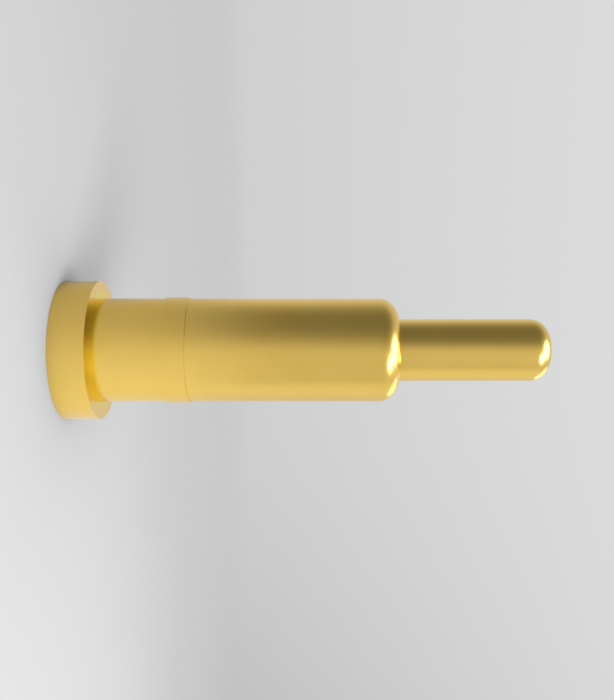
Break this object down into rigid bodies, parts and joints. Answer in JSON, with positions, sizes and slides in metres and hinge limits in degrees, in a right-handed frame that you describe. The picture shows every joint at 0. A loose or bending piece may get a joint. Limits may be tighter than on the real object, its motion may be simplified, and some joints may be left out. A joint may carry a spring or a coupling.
{
  "type": "pogo pin",
  "caption": "Upright spring-loaded contact pin: a flanged barrel with a press ring and a rolled-in mouth, and a round-nosed plunger that slides down into it against a coil spring.",
  "frame": {"origin": "centre of the flange's flat solder face", "axes": "+Z along the pin's axis, from the solder face to the contact tip; X and Y lie in the solder face, and the hidden slope of the plunger's tail is lowest on the -X side"},
  "size_m": [0.002, 0.002, 0.007],
  "materials": {
    "gold_plated_barrel": "gold plated, satin",
    "gold_plated_plunger": "gold plated, polished",
    "spring_wire": "drawn wire"
  },
  "bodies": {
    "barrel": {"barrel": "gold_plated_barrel", "spring": "spring_wire"},
    "plunger": {"plunger": "gold_plated_plunger"}
  },
  "joints": [
    {"name": "plunger_slide", "type": "slide", "parent": "barrel", "child": "plunger", "axis": [0, 0, -1], "range_m": [0, 0.0014], "stiffness_N_per_m": 413, "deforming": ["spring"]}
  ]
}
